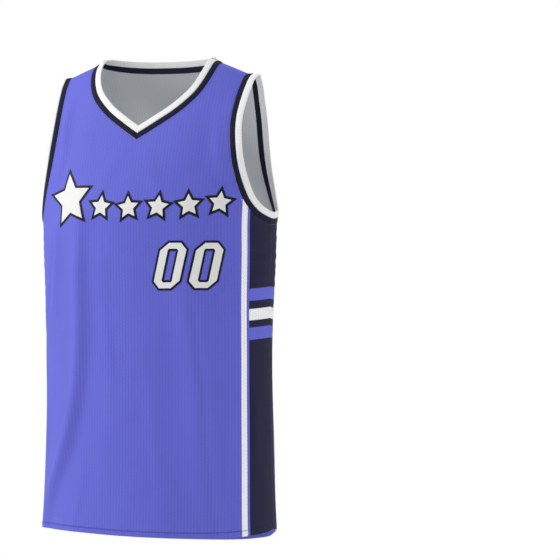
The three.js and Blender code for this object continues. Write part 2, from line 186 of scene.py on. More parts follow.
CREASES_BACK = [
    fold(12, 12, (-60, 20, 0), (-110, 27, 1.2), (-170, 33, 1.4), (-230, 39, 0)),
    fold(12, 12, (-60, -18, 0), (-120, -27, 1.1), (-180, -35, 1.3), (-240, -41, 0)),
    fold(10, 12, (-430, 8, 0), (-520, 9, 1), (-640, 6, 1.2), (-768, 3, 0.7)),
    fold(9, 12, (-400, 22, 0), (-500, 24, 1), (-620, 27, 1.2), (-765, 30, 0.8)),
    fold(8, 10, (-280, 62, 0), (-340, 66, 1.6), (-410, 72, 0)),
    fold(9, 9, (-520, -60, 0), (-600, -57, 1.4), (-700, -62, 0)),
    fold(9, 9, (-500, 66, 0), (-600, 70, 1.3), (-690, 74, 0)),
    fold(10, 10, (-450, -5, 0), (-560, -7, 0.9), (-690, -4, 0)),
]

FRONT = {
    "name": "front",
    "facing": -1,
    "hem": HEM_FRONT,
    "neck": NECK_FRONT,
    "stand": NECK_STAND_FRONT,
    "folds": FOLDS_FRONT + CREASES_FRONT,
    "arm_share_at_neck": 0.55,
}
BACK = {
    "name": "back",
    "facing": 1,
    "hem": HEM_BACK,
    "neck": NECK_BACK,
    "stand": NECK_STAND_BACK,
    "folds": FOLDS_BACK + CREASES_BACK,
    "arm_share_at_neck": 0.8,
}

# Rows of the cloth grid from the hem up, in the part's numbering, and how finely each is split
TORSO_ROWS = 20
CHEST_ROWS = 8
STRAP_ROWS = 12
UNDERARM_ROW = 1 + TORSO_ROWS
NECK_ROW = UNDERARM_ROW + CHEST_ROWS
TOP_ROW = NECK_ROW + STRAP_ROWS
HEM_STEPS = (0, 0.02, 0.06, 0.12, 0.25, 0.5, 0.75, 0.96)
SPLIT = 6
STRAP_SPLIT = 4
NECK_SPLIT = 5
ARM_SPLIT = 4
COLUMNS = 88

# The dyed side design: the navy edge by level, and the stripes beside and across it. On the
# side that each view of the jersey turns away, the design starts nearer to the seam.
NAVY_EDGE = table("level turn", (-750, 65.1), (-500, 67.4), (-270, 65.2))
FAR_NAVY_EDGE = table("level turn", (-750, 78.5), (-270, 78.5))
SIDE_STRIPE = (-13.7, -4.3)
CROSS_BAND_RISE = 4.2
CROSS_PERIWINKLE = ((-386.8, -367.8), (-448, -428.7))
CROSS_WHITE = (-417.4, -399.6)

# The navy reaches round from its edge, past the side seam
NAVY_REACH = 400

# Painted shadow of the hem's fold: the cloth is darkened in this band, in millimetres over the
# edge, and stitches elsewhere count as this far over it
HEM_SHADOW = (7.6, 9.6)
CLEAR_OF_HEM = 100

# Plain generic marks, in the places and sizes of the real ones: block numbers and stars
FRONT_NUMBER = {
    "width": 49.5, "height": 78, "cut": 13.5, "slant": 0.23,
    "counter_width": 10.2, "counter_height": 45.7, "counter_cut": 0.3,
    "outline": 3.5, "level": -331.5, "distances": (70.5, 127.8),
}
BACK_NUMBER = {
    "width": 112, "height": 190, "cut": 31, "slant": -0.25,
    "counter_width": 22.8, "counter_height": 109.8, "counter_cut": 0.5,
    "outline": 6.4, "level": -311.5, "distances": (-64, 64),
}
FRONT_STARS = table(
    "distance level radius tilt",
    (-113, -226, 50, -8), (-50, -238, 27, 4), (0, -240, 27, -5), (50, -239, 27, 6),
    (100, -237, 27, -4), (149, -233, 27, 5),
)
BACK_STARS = table(
    "distance level radius tilt",
    (-122, -158, 24, -15), (-78, -141, 24, -9), (-34, -132, 24, -4), (34, -132, 24, 4),
    (78, -141, 24, 9), (122, -158, 24, 15),
)


def smooth(rows, key, column, at):
    """A smooth curve through a table's rows, read at values of its key column."""
    keys, values = rows[key], rows[column]
    slopes = np.empty_like(values)
    slopes[1:-1] = (values[2:] - values[:-2]) / (keys[2:] - keys[:-2])
    slopes[0] = (values[1] - values[0]) / (keys[1] - keys[0])
    slopes[-1] = (values[-1] - values[-2]) / (keys[-1] - keys[-2])
    at = np.asarray(at, float)
    k = np.clip(np.searchsorted(keys, at, side="right") - 1, 0, len(keys) - 2)
    span = keys[k + 1] - keys[k]
    t = np.clip((at - keys[k]) / span, 0, 1)
    ends = (1 + 2 * t) * (1 - t) ** 2 * values[k] + t * t * (3 - 2 * t) * values[k + 1]
    lean = slopes[k] * t * (1 - t) ** 2 + slopes[k + 1] * t * t * (t - 1)
    return ends + lean * span


def unit(vectors):
    return vectors / np.linalg.norm(vectors, axis=-1, keepdims=True)


def lerp(a, b, share):
    return a + (b - a) * share


def half_width(level):
    return smooth(RINGS, "level", "half_width", np.minimum(level, FULL_RING))


def shoulder_level(across):
    """Level of the shoulder line at a distance from the centre."""
    past = np.abs(across) - SLOPE_START
    return -SHOULDER_SLOPE * (np.hypot(past, SLOPE_SOFTNESS) + past) / 2


def rise_at(turn, level):
    """A rise is 1 on the shoulder line, 0 at FULL_RING and negative below it."""
    across = half_width(level) * np.sin(np.radians(turn))
    height = (level - FULL_RING) / (shoulder_level(across) - FULL_RING)
    return np.where(height < 0, height / 2, 1 - np.sqrt(np.maximum(1 - height, 0)))


def depth_share(radians, height):
    """Share of the body's depth that is left at a share of the height to the shoulder line."""
    bend = lerp(CENTRE_BEND, SIDE_BEND, np.sin(radians) ** 2)
    bent = np.hypot(np.clip(height, 0, 1), bend) - bend
    return np.sqrt(np.maximum(1 - bent / (np.hypot(1, bend) - bend), 0))


def fold_height(folds, turn, level):
    radians = np.radians(turn)
    width = half_width(level)
    per_degree = np.radians(
        np.hypot(width * np.cos(radians), width * DEPTH_TO_WIDTH * np.sin(radians))
    )
    height = 0
    for one in folds:
        crest = one["crest"]
        at = np.clip(level, crest["level"][0], crest["level"][-1])
        away = (turn - smooth(crest, "level", "turn", at)) * per_degree
        reach = np.where(away < 0, one["right"], one["left"])
        height = height + smooth(crest, "level", "height", at) * np.exp(-((away / reach) ** 2))
    return height


def waves_at(waves, turn, level):
    """The sum of some waves: each one's height, its reach across and down, and its start."""
    return sum(h * np.sin(turn / across + level / down + at) for h, across, down, at in waves)


# Ripples at the side seams: height and reach in degrees, and the same under the arms with the
# level of their middle and how far up and down they go
PUCKER_HEIGHT, PUCKER_REACH = 0.12, 11
ARM_PUCKER_HEIGHT, ARM_PUCKER_REACH = 0.42, 23
ARM_PUCKER_LEVEL, ARM_PUCKER_SPAN = -325, 75
PUCKER_START = 12
PUCKER_WAVES = ((1, 100 / 9, 2.3, 0), (0.7, 7, 3.7, 0))


def seam_puckers(turn, level):
    """Short level ripples where the side seams gather the cloth, most under the arms."""
    from_seam = 90 - np.abs(turn)
    seam = PUCKER_HEIGHT * np.exp(-((from_seam / PUCKER_REACH) ** 2))
    below_arm = ((level - ARM_PUCKER_LEVEL) / ARM_PUCKER_SPAN) ** 2
    under_arm = ARM_PUCKER_HEIGHT * np.exp(-((from_seam / ARM_PUCKER_REACH) ** 2) - below_arm)
    start = np.clip((FULL_RING - level) / PUCKER_START, 0, 1)
    return (seam + under_arm) * waves_at(PUCKER_WAVES, turn, level) * start


# Slow waves of well under a millimetre that keep the cloth from looking machined. They die away
# over the top quarter of the height to the shoulder line.
SLOW_WAVES = (
    (0.3, 13, 71, 0.4), (0.24, 7.1, -43, 1.9), (0.18, 4.3, 96, 4.1), (0.12, -3.1, 27, 2.6),
)
EVEN_TOP = 4


def cloth_point(panel, turn, rise):
    """Points on the outer side of a panel, in millimetres."""
    turn, rise = np.broadcast_arrays(np.asarray(turn, float), np.asarray(rise, float))
    radians = np.radians(turn)
    top = shoulder_level(half_width(FULL_RING) * np.sin(radians))
    height = np.where(rise < 0, 2 * rise, 1 - (1 - rise) ** 2)
    level = FULL_RING + (top - FULL_RING) * height
    width = half_width(level)
    inward = depth_share(radians, height)
    depth = width * DEPTH_TO_WIDTH
    across, forward = np.sin(radians), panel["facing"] * np.cos(radians)
    out = unit(np.stack([across / width, forward / depth, np.zeros_like(width)], -1))
    y = forward * depth * inward + RIDGE_BACK * (1 - inward)
    point = np.stack([width * across, y, level], -1)
    even = np.clip(EVEN_TOP * (1 - height), 0, 1)
    stand = fold_height(panel["folds"], turn, level) + seam_puckers(turn, level)
    return point + out * (stand + waves_at(SLOW_WAVES, turn, level) * even)[..., None]


# Steps in degrees and in rise over which a panel's slope is read
TURN_STEP, RISE_STEP = 0.6, 0.008


def way_out(panel, turn, rise):
    """The way out of the cloth, from short steps along it."""
    after, before = (cloth_point(panel, turn + d, rise) for d in (TURN_STEP / 2, -TURN_STEP / 2))
    upper = np.minimum(rise + RISE_STEP / 2, 1)
    above, below = (cloth_point(panel, turn, upper - d) for d in (0, RISE_STEP))
    return unit(-panel["facing"] * np.cross(after - before, above - below))


def edge_place(rows, column, share):
    """Turn and rise at a share of a cut edge."""
    near = np.minimum(share, EVEN_FROM)
    turn_near = smooth(rows, "share", column, near)
    rise = rise_at(turn_near, smooth(rows, "share", "level", near))
    to_ridge = np.maximum(share - EVEN_FROM, 0) / (1 - EVEN_FROM)
    return smooth(rows, "share", column, share), lerp(rise, 1, to_ridge)


def armhole_place(panel, share):
    return edge_place(ARMHOLE, panel["name"], share)


def neck_place(panel, share):
    return edge_place(panel["neck"], "turn", share)


def neck_share(row):
    return 1 - (1 - (row - NECK_ROW) / STRAP_ROWS) ** 2


def arm_share(panel, row):
    at_neck = panel["arm_share_at_neck"]
    below = (row - UNDERARM_ROW) / CHEST_ROWS * at_neck
    return np.where(row <= NECK_ROW, below, lerp(at_neck, 1, neck_share(row)))


def grid_place(panel, side, across, row, hem_depth):
    """Turn and rise along one row of one half of a panel: side is 1 for the wearer's left."""
    if row <= UNDERARM_ROW:
        turn = side * 90 * across
        foot = smooth(panel["hem"], "turn", "level", turn) + hem_depth * min(row, 1)
        top = UNDERARM_LEVEL - CENTRE_BELOW_UNDERARM * (1 - across)
        return turn, rise_at(turn, lerp(foot, top, max(row - 1, 0) / TORSO_ROWS))
    if row <= NECK_ROW:
        start = rise_at(0, UNDERARM_LEVEL - CENTRE_BELOW_UNDERARM)
        climb = (row - UNDERARM_ROW) / CHEST_ROWS
        inner = (0, lerp(start, rise_at(0, panel["neck"]["level"][0]), climb))
    else:
        inner = neck_place(panel, neck_share(row))
    outer = armhole_place(panel, arm_share(panel, row))
    return side * lerp(inner[0], outer[0], across), lerp(inner[1], outer[1], across)


# Length round the body from the centre to a turn, for a half width of 1
ARC_TURNS = np.linspace(0, 120, 481)
ARC_STEPS = np.hypot(
    np.cos(np.radians(ARC_TURNS)), DEPTH_TO_WIDTH * np.sin(np.radians(ARC_TURNS))
) * np.radians(ARC_TURNS[1])
ARC_LENGTHS = np.concatenate([[0], np.cumsum((ARC_STEPS[1:] + ARC_STEPS[:-1]) / 2)])


def flat_distance(turn, level):
    """Distance over the cloth from the centre of the panel to a turn."""
    return np.sign(turn) * np.interp(np.abs(turn), ARC_TURNS, ARC_LENGTHS) * half_width(level)


def turn_at(distance, level):
    share = np.abs(distance) / half_width(level)
    return np.sign(distance) * np.interp(share, ARC_LENGTHS, ARC_TURNS)


def print_values(panel, turn, level):
    """What the dyed design and the painted hem shadow are read by at each point of the cloth."""
    turn, level = np.broadcast_arrays(turn, level)
    wide = smooth(NAVY_EDGE, "level", "turn", level)
    narrow = smooth(FAR_NAVY_EDGE, "level", "turn", level)
    edge = np.where(turn * panel["facing"] < 0, wide, narrow)
    past = flat_distance(np.abs(turn), level) - flat_distance(edge, level)
    share = np.clip((np.abs(turn) - wide) / (90 - wide), 0, 1)
    hem = smooth(panel["hem"], "turn", "level", turn) if "hem" in panel else level - CLEAR_OF_HEM
    return {
        "above_hem": level - hem,
        "past_navy_edge": past,
        "band_level": level - CROSS_BAND_RISE * share,
        "across": flat_distance(turn, level),
        "level": level,
    }


def hex_colour(code):
    """Linear colour of an sRGB hex value."""
    parts = [int(code[k : k + 2], 16) / 255 for k in (1, 3, 5)]
    return [c / 12.92 if c <= 0.04045 else ((c + 0.055) / 1.055) ** 2.4 for c in parts] + [1]


SHARP_ANGLE = math.radians(48)


def make_piece(name, points, faces, materials, values=None, corners=None, face_material=None):
    """A mesh object from points in millimetres, with smooth faces and named values."""
    mesh = bpy.data.meshes.new(name)
    mesh.from_pydata((np.asarray(points) * MM).tolist(), [], faces)
    for domain, named in (("POINT", values or {}), ("CORNER", corners or {})):
        for key, data in named.items():
            attribute = mesh.attributes.new(key, "FLOAT", domain)
            attribute.data.foreach_set("value", np.asarray(data, np.float32).ravel())
    for material in materials:
        mesh.materials.append(material)
    if face_material is not None:
        mesh.polygons.foreach_set("material_index", np.asarray(face_material, np.int32))
    mesh.shade_smooth()
    mesh.set_sharp_from_angle(angle=SHARP_ANGLE)
    mesh.update()
    piece = bpy.data.objects.new(name, mesh)
    bpy.context.scene.collection.objects.link(piece)
    return piece


def between_rings(low, high, size):
    """Quads between two closed rings of points, each named by its first point."""
    return [(low + k, low + (k + 1) % size, high + (k + 1) % size, high + k) for k in range(size)]


def wall_faces(count, quads):
    """Faces of a closed wall: outer side, inner side, and the strip round the open edges."""
    edges = {}
    for a, b, c, d in quads:
        for pair in ((a, b), (b, c), (c, d), (d, a)):
            if pair[::-1] in edges:
                del edges[pair[::-1]]
            else:
                edges[pair] = True
    inner = [(count + d, count + c, count + b, count + a) for a, b, c, d in quads]
    rim = [(b, a, count + a, count + b) for a, b in edges]
    return quads + inner + rim, len(quads), len(inner)


def panel_grid(panel, hem_depth):
    """Turns and rises of a panel's points, the row of each, its quads and its seam points."""
    rows = np.concatenate(
        [
            HEM_STEPS,
            np.linspace(1, UNDERARM_ROW, TORSO_ROWS * SPLIT + 1),
            np.linspace(UNDERARM_ROW, NECK_ROW, CHEST_ROWS * SPLIT + 1)[1:],
            np.linspace(NECK_ROW, TOP_ROW, STRAP_ROWS * STRAP_SPLIT + 1)[1:],
        ]
    )
    across = np.linspace(0, 1, COLUMNS + 1)
    turns, rises, point_rows, index = [], [], [], {}
    for side in (1, -1):
        for r, row in enumerate(rows):
            turn, rise = grid_place(panel, side, across, row, hem_depth)
            # Up to the neck both halves share the points of the centre column
            first = int(side == -1 and row <= NECK_ROW)
            for column in range(first, COLUMNS + 1):
                index[side, r, column] = len(turns)
                turns.append(float(turn[column]))
                rises.append(float(rise[column]))
                point_rows.append(row)
            if first:
                index[side, r, 0] = index[1, r, 0]
    quads, seam, last = [], [], len(rows) - 1
    for side in (1, -1):
        for r in range(last):
            for c in range(COLUMNS):
                corners = ((r, c), (r, c + 1), (r + 1, c + 1), (r + 1, c))
                quad = tuple(index[side, *corner] for corner in corners)
                quads.append(quad if side * panel["facing"] < 0 else quad[::-1])
        seam += [index[side, r, COLUMNS] for r in range(last) if rows[r] <= UNDERARM_ROW]
        seam += [index[side, last, column] for column in range(COLUMNS + 1)]
    return np.array(turns), np.array(rises), np.array(point_rows), quads, seam


# At the hem's foot both sides move in by at most this share of half the wall
HEM_FOLD_SHARE = 0.92


def make_panel(panel, cloth, materials):
    """One body panel: dyed outer side, undyed inner side, and a doubled, rounded hem."""
    hem_depth, hem_wall, wall = cloth.hem_depth / MM, cloth.hem_wall / MM, cloth.wall / MM
    turns, rises, rows, quads, seam = panel_grid(panel, hem_depth)
    outer = cloth_point(panel, turns, rises)
    normals = way_out(panel, turns, rises)
    outer[seam, 1] += panel["facing"] * SEAM_GAP / 2
    normals[seam, 1] = 0
    normals = unit(normals)
    thickness = np.where(rows < 1, hem_wall, wall)[:, None]
    inner = outer - normals * thickness
    # The fold at the hem's foot is half round: both sides meet in the middle of the wall
    radius = hem_wall / 2
    above_foot = np.minimum(rows * hem_depth, radius)
    tuck = radius - np.sqrt(np.maximum(radius**2 - (radius - above_foot) ** 2, 0))
    tuck = np.minimum(tuck, radius * HEM_FOLD_SHARE)[:, None] * (rows < 1)[:, None]
    outer, inner = outer - normals * tuck, inner + normals * tuck
    faces, outside, inside = wall_faces(len(outer), quads)
    printed = print_values(panel, turns, outer[:, 2])
    values = {key: np.concatenate([data, data]) for key, data in printed.items()}
    turned_up = [0 if rows[quad[0]] < 1 and rows[quad[2]] < 1 else 1 for quad in quads]
    kinds = [0] * outside + turned_up + [0] * (len(faces) - outside - inside)
    name, points = f"{panel['name']}_cloth", np.concatenate([outer, inner])
    return make_piece(name, points, faces, materials, values=values, face_material=kinds)


def edge_run(panel, side, at_neck, split):
    """Stations along a panel's neck edge or armhole edge, from the low end to the shoulder."""
    low = NECK_ROW if at_neck else UNDERARM_ROW
    rows = np.linspace(low, TOP_ROW, (TOP_ROW - low) * split + 1)
    across = 0.0 if at_neck else 1.0
    places = [grid_place(panel, side, across, row, 0) for row in rows]
    turns = np.array([float(turn) for turn, rise in places])
    rises = np.array([float(rise) for turn, rise in places])
    points = cloth_point(panel, turns, rises)
    normals = way_out(panel, turns, rises)
    ends = [-1] if at_neck else [0, -1]
    points[ends, 1] += panel["facing"] * SEAM_GAP / 2
    normals[ends, 1] = 0
    share = neck_share(rows) if at_neck else arm_share(panel, rows)
    stand = panel["stand"] if at_neck else ARMHOLE_STAND
    return {
        "point": points,
        "normal": unit(normals),
        "lift": smooth(stand, "share", "lift", share)[:, None],
        "flare": smooth(stand, "share", "flare", share)[:, None],
        "turn": turns[:, None],
    }


def joined_runs(*runs):
    """Runs end to end in one closed ring: where two meet, their stations become one."""
    ring = {key: [] for key in runs[0]}
    for before, run in zip((runs[-1], *runs[:-1]), runs):
        for key in ring:
            meeting = (before[key][-1:] + run[key][:1]) / 2
            ring[key].append(np.concatenate([meeting, run[key][1:-1]]))
    ring = {key: np.concatenate(parts) for key, parts in ring.items()}
    ring["normal"] = unit(ring["normal"])
    return ring


def reverse_run(run):
    return {key: data[::-1] for key, data in run.items()}


def openings():
    """The name, the CAD node's name, the edge and a point inside of each opening."""
    places = ((FRONT, 1), (BACK, 1), (BACK, -1), (FRONT, -1))
    neck = [edge_run(*place, True, NECK_SPLIT) for place in places]
    neck[1::2] = [reverse_run(run) for run in neck[1::2]]
    found = [("neck", "neck_band", joined_runs(*neck), NECK_MIDDLE)]
    for side, name in ((1, "left"), (-1, "right")):
        front, back = (edge_run(panel, side, False, ARM_SPLIT) for panel in (FRONT, BACK))
        edge = joined_runs(front, reverse_run(back))
        found.append((f"{name}_arm", f"{name}_armhole", edge, ARMHOLE_MIDDLE * (side, 1, 1)))
    return found


def toward_opening(ring, before, after, inside):
    """The way from the cloth edge into the opening, along the band."""
    way = unit(np.cross(ring["normal"], unit(after - before)))
    wrong = np.sum(way * (inside - ring["point"]), -1, keepdims=True) < 0
    way = np.where(wrong, -way, way) + ring["normal"] * ring["flare"]
    return unit(lerp(way, UP, ring["lift"]))


def band_frames(ring, inside):
    """Directions of a band at each station: along keeps its width even round corners."""
    point = ring["point"]
    before, after = np.roll(point, 1, 0), np.roll(point, -1, 0)
    first = toward_opening(ring, before, point, inside)
    second = toward_opening(ring, point, after, inside)
    half = unit(first + second)
    out = unit(np.cross(half, unit(after - before)))
    out = np.where(np.sum(out * ring["normal"], -1, keepdims=True) < 0, -out, out)
    return half / np.sum(half * first, -1, keepdims=True), out


# Section of a folded strip: points over its width, how square its swell is, how far its edges
# keep inside its wall, its swell on the inner side, and the pinch at a mitre
BAND_POINTS = 11
BAND_SQUARENESS = 0.55
BAND_EDGE_TOP, BAND_EDGE_FOOT = 0.3, 0.15
BAND_INNER_SWELL = -0.4
MITRE_PINCH = -0.5


def make_band(name, ring, inside, start, end, bands, material, mitred):
    """A strip of folded rib round an opening, a little fuller in its middle. A mitred strip is
    pinched at its first station, the point of the V."""
    along, out = band_frames(ring, inside)
    steps = np.linspace(0, math.pi, BAND_POINTS)
    share = (1 - np.cos(steps)) / 2
    swell = np.sin(steps) ** BAND_SQUARENESS * bands.fullness / MM
    swell = np.concatenate([swell, BAND_INNER_SWELL * swell])
    top = bands.stand_proud / MM
    foot = top - bands.wall / MM
    plain = np.repeat([top - BAND_EDGE_TOP, foot + BAND_EDGE_FOOT], BAND_POINTS)
    reach = np.concatenate([lerp(start, end, share), lerp(end, start, share)])
    count, size = len(along), len(reach)
    fuller = np.ones(count)
    if mitred:
        fuller[0] = MITRE_PINCH
    height = plain + swell * fuller[:, None]
    points = ring["point"][:, None] + along[:, None] * reach[:, None]
    points = (points + out[:, None] * height[..., None]).reshape(-1, 3)
    length = np.linalg.norm(np.roll(ring["point"], -1, 0) - ring["point"], axis=-1)
    distance = np.concatenate([[0], np.cumsum(length)])
    faces, run = [], []
    for k in range(count):
        faces += between_rings(k * size, (k + 1) % count * size, size)
        run += [(distance[k], distance[k], distance[k + 1], distance[k + 1])] * size
    if signed_volume(points, faces) < 0:
        faces = [face[::-1] for face in faces]
        run = [values[::-1] for values in run]
    return make_piece(name, points, faces, [material], corners={"along_band": run})


def signed_volume(points, faces):
    corners = points[np.array(faces)]
    a, b, c, d = (corners[:, k] for k in range(4))
    return float(np.sum(np.cross(a, b) * c) + np.sum(np.cross(a, c) * d))


def onto_cloth(panel, flat, raised):
    """Points laid on a panel: flat holds distance from the centre and level, in millimetres."""
    distance, level = flat[..., 0], flat[..., 1]
    turn = turn_at(distance, level)
    rise = rise_at(turn, level)
    return cloth_point(panel, turn, rise) + way_out(panel, turn, rise) * raised


def outset(outline, by):
    """A closed outline moved outward by a distance, corners kept sharp."""
    before, after = np.roll(outline, 1, 0), np.roll(outline, -1, 0)
    first, second = unit(outline - before), unit(after - outline)
    out_first = np.stack([-first[:, 1], first[:, 0]], -1)
    out_second = np.stack([-second[:, 1], second[:, 0]], -1)
    half = unit(out_first + out_second)
    return outline + half * by / np.sum(half * out_first, -1, keepdims=True)


# About the side of a mark's faces, in millimetres
MARK_STEP = 3.5


def split_sides(outline, parts):
    """A closed outline with each of its sides cut in a number of parts."""
    sides = zip(outline, np.roll(outline, -1, 0), parts)
    return np.concatenate(
        [lerp(a, b, np.linspace(0, 1, n, endpoint=False)[:, None]) for a, b, n in sides]
    )


def make_mark(name, panel, shapes, low, high, material):
    """Flat cloth marks on a panel: each shape is an outline and a counter of like corners,
    or a middle point where the mark has no counter."""
    points, faces, flats, count = [], [], [], 0
    for outline, counter in shapes:
        solid_middle = counter.ndim == 1
        sides = np.linalg.norm(np.roll(outline, -1, 0) - outline, axis=-1)
        parts = np.ceil(sides / MARK_STEP).astype(int)
        rim = split_sides(outline, parts)
        hub = np.tile(counter, (len(rim), 1)) if solid_middle else split_sides(counter, parts)
        rings = max(2, math.ceil(np.linalg.norm(rim - hub, axis=-1).max() / MARK_STEP))
        flat = lerp(rim[None], hub[None], np.linspace(0, 1, rings + 1)[:, None, None])
        if solid_middle:
            flat = flat[:-1]
        levels, size = flat.shape[:2]
        flat = flat.reshape(-1, 2)
        if solid_middle:
            flat = np.concatenate([flat, counter[None]])
        total, last = len(flat), (levels - 1) * size
        upper = []
        for j in range(levels - 1):
            upper += between_rings(j * size, (j + 1) * size, size)
        if solid_middle:
            upper += [(last + k, last + (k + 1) % size, total - 1) for k in range(size)]
        both = upper + [tuple(total + v for v in face[::-1]) for face in upper]
        both += between_rings(total, 0, size)
        if not solid_middle:
            both += between_rings(last, total + last, size)
        faces += [[count + v for v in face] for face in both]
        points += [onto_cloth(panel, flat, high), onto_cloth(panel, flat, low)]
        flats += [flat, flat]
        count += 2 * total
    if panel["facing"] < 0:
        faces = [face[::-1] for face in faces]
    flat = np.concatenate(flats)
    values = {"across": flat[:, 0], "level": flat[:, 1]}
    return make_piece(name, np.concatenate(points), faces, [material], values=values)


def digit_zero(size, middle):
    """Outline and counter of a plain block 0, clockwise in distance and level."""

    def octagon(width, height, cut):
        x, y = width / 2, height / 2
        top = [(cut - x, y), (x - cut, y), (x, y - cut)]
        foot = [(x, cut - y), (x - cut, -y), (cut - x, -y), (-x, cut - y), (-x, y - cut)]
        corners = np.array(top + foot)
        corners[:, 0] += corners[:, 1] * size["slant"]
        return corners + np.array(middle)

    counter = (size["counter_width"], size["counter_height"], size["counter_cut"])
    return octagon(size["width"], size["height"], size["cut"]), octagon(*counter)


# Radius of a star's inner corners, as a share of that of its points
STAR_DEPTH = 0.5


def star(centre, radius, tilt):
    """Outline and middle of a five-point star, clockwise as seen from outside."""
    centre, corner = np.array(centre, float), np.arange(10)
    angles = np.radians(90 - tilt - 36 * corner)
    reach = np.where(corner % 2 == 0, radius, radius * STAR_DEPTH)
    return np.stack([np.cos(angles) * reach, np.sin(angles) * reach], -1) + centre, centre


# Section of a stitch: rings along it and points round it, how far its arch lifts it, and how
# thin its ends are
STITCH_RINGS = 6
STITCH_SIDES = 6
STITCH_POINTS = STITCH_RINGS * STITCH_SIDES
STITCH_LIFT = 1.7
STITCH_END = 0.55


def stitch_row(path, normals, stitches, closed=False):
    """Short raised stitches along a path on the cloth: their points and faces."""
    if closed:
        path, normals = (np.concatenate([rows, rows[:1]]) for rows in (path, normals))
    steps = np.linalg.norm(np.diff(path, axis=0), axis=-1)
    distance = np.concatenate([[0], np.cumsum(steps)])
    pitch = (stitches.stitch + stitches.gap) / MM
    count = int(distance[-1] // pitch)
    starts = np.arange(count) * distance[-1] / count
    share = np.linspace(0, 1, STITCH_RINGS)
    at = (starts[:, None] + share * stitches.stitch / MM).ravel()
    centre, up = (
        np.stack([np.interp(at, distance, rows[:, k]) for k in range(3)], -1)
        for rows in (path, normals)
    )
    up = unit(up)
    radius = stitches.thread / MM / 2
    arch = np.tile(np.sin(np.pi * share), count)[:, None]
    run = unit(np.gradient(centre.reshape(count, -1, 3), axis=1).reshape(-1, 3))
    side = unit(np.cross(run, up))
    centre = centre + up * (radius * (STITCH_LIFT * arch - 1))
    around = np.arange(STITCH_SIDES) / STITCH_SIDES * 2 * np.pi
    spread = radius * lerp(STITCH_END, 1, arch)[:, None]
    across, rise = (spread * wave[None, :, None] for wave in (np.cos(around), np.sin(around)))
    points = (centre[:, None] + side[:, None] * across + up[:, None] * rise).reshape(-1, 3)
    faces = []
    for base in range(0, len(points), STITCH_POINTS):
        last = base + STITCH_POINTS - STITCH_SIDES
        for low in range(base, last, STITCH_SIDES):
            faces += between_rings(low + STITCH_SIDES, low, STITCH_SIDES)
        faces.append(tuple(base + k for k in range(STITCH_SIDES)))
        faces.append(tuple(last + k for k in reversed(range(STITCH_SIDES))))
    return points, faces


def add(tree, kind, feeds=None, out=0, **settings):
    """Adds a node; feeds holds a constant or a socket for each input. Gives one output."""
    node = tree.nodes.new(kind)
    for key, value in settings.items():
        setattr(node, key, value)
    for key, value in (feeds or {}).items():
        if isinstance(value, bpy.types.NodeSocket):
            tree.links.new(value, node.inputs[key])
        else:
            node.inputs[key].default_value = value
    return node.outputs[out] if node.outputs else node


def new_material(name):
    """A material and its empty tree of nodes."""
    material = bpy.data.materials.new(name)
    material.use_nodes = True
    material.node_tree.nodes.clear()
    return material, material.node_tree


def surfaced(material, inputs):
    """The material, with a shader fed by these inputs on its surface."""
    shader = add(material.node_tree, "ShaderNodeBsdfPrincipled", inputs)
    add(material.node_tree, "ShaderNodeOutputMaterial", {"Surface": shader})
    return material


def within(tree, value, low, high, soft=0.7):
    """1 where a value lies between two limits, 0 outside, with a soft step of that width."""
    off = add(tree, "ShaderNodeMath", {0: value, 1: (low + high) / 2}, operation="SUBTRACT")
    size = add(tree, "ShaderNodeMath", {0: off}, operation="ABSOLUTE")
    half = (high - low) / 2
    limits = {"From Min": half + soft / 2, "From Max": half - soft / 2}
    return add(tree, "ShaderNodeMapRange", {"Value": size, **limits})


def position_noise(tree, scale, detail=2.0):
    """Noise in the object's own space, per metre."""
    place = add(tree, "ShaderNodeTexCoord", out="Object")
    return add(tree, "ShaderNodeTexNoise", {"Vector": place, "Scale": scale, "Detail": detail})


def deeper(colour, share):
    return (*(part * share for part in colour[:3]), 1)


def dye_and_painted_hem_shadow(tree, cloth):
    """The dyed design: periwinkle, a white stripe, and navy sides with their cross bands, with a
    painted shadow along the top of the hem.
    """
    past, band, above_hem = (
        add(tree, "ShaderNodeAttribute", out="Fac", attribute_name=name)
        for name in ("past_navy_edge", "band_level", "above_hem")
    )
    cloudy = position_noise(tree, 9, 3)
    colour, side, white = (tuple(dye) for dye in (cloth.periwinkle, cloth.navy, cloth.white))
    layers = [(cloudy, deeper(side, 0.85))]
    layers += [(within(tree, band, *levels), colour) for levels in CROSS_PERIWINKLE]
    layers += [(within(tree, band, *CROSS_WHITE), white)]
    for share, layer in layers:
        side = add(tree, "ShaderNodeMix", {0: share, 6: side, 7: layer}, 2, data_type="RGBA")
    layers = [
        (cloudy, deeper(colour, 0.9)),
        (within(tree, past, *SIDE_STRIPE), white),
        (within(tree, past, 0, NAVY_REACH), side),
    ]
    for share, layer in layers:
        colour = add(tree, "ShaderNodeMix", {0: share, 6: colour, 7: layer}, 2, data_type="RGBA")
    # Painted shadow: a band just above the hem's fold is multiplied by a grey
    shadow = {0: within(tree, above_hem, *HEM_SHADOW, 0.8), 6: colour, 7: hex_colour("#CECED4")}
    return add(tree, "ShaderNodeMix", shadow, 2, data_type="RGBA", blend_type="MULTIPLY")


